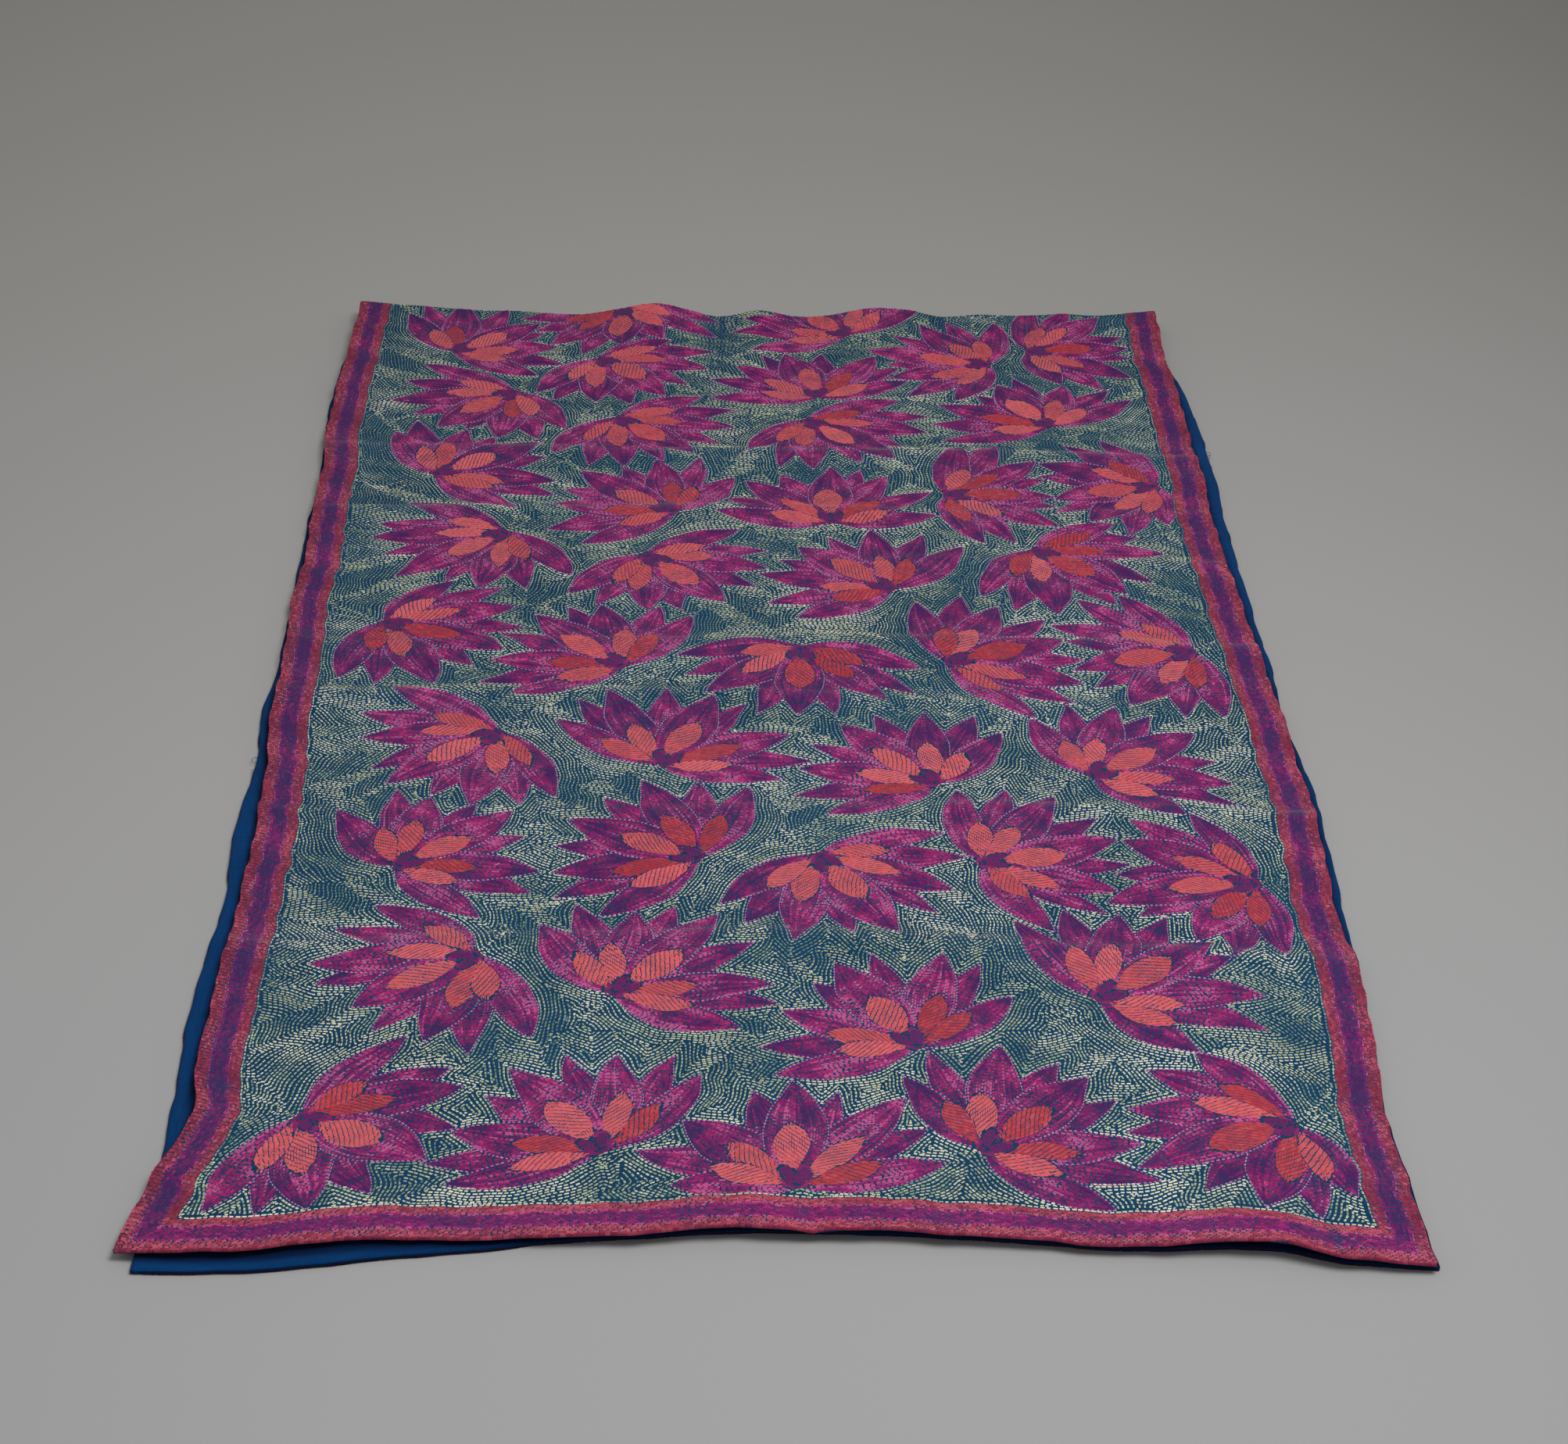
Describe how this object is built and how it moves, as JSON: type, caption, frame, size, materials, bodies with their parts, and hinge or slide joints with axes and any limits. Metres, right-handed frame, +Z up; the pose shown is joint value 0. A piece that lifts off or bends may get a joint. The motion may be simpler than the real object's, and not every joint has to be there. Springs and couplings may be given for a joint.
{
  "type": "kantha shawl",
  "caption": "Long running-stitch embroidered shawl with lotus flowers, a striped stitched border and a plain backing, folded once across its length and lying flat.",
  "frame": {"origin": "under the middle of the folded shawl, on the surface it lies on", "axes": "+X across the shawl to the right, +Y along it from the two hems to the fold, +Z up"},
  "size_m": [0.577, 1.0276, 0.0144],
  "materials": {
    "embroidered_cloth": "matt cotton covered with rows of cream, magenta, purple and coral running stitch on deep blue",
    "backing_cloth": "plain matt blue cotton"
  },
  "bodies": {
    "root": {"kantha_face": "embroidered_cloth", "backing": "backing_cloth"}
  },
  "joints": []
}
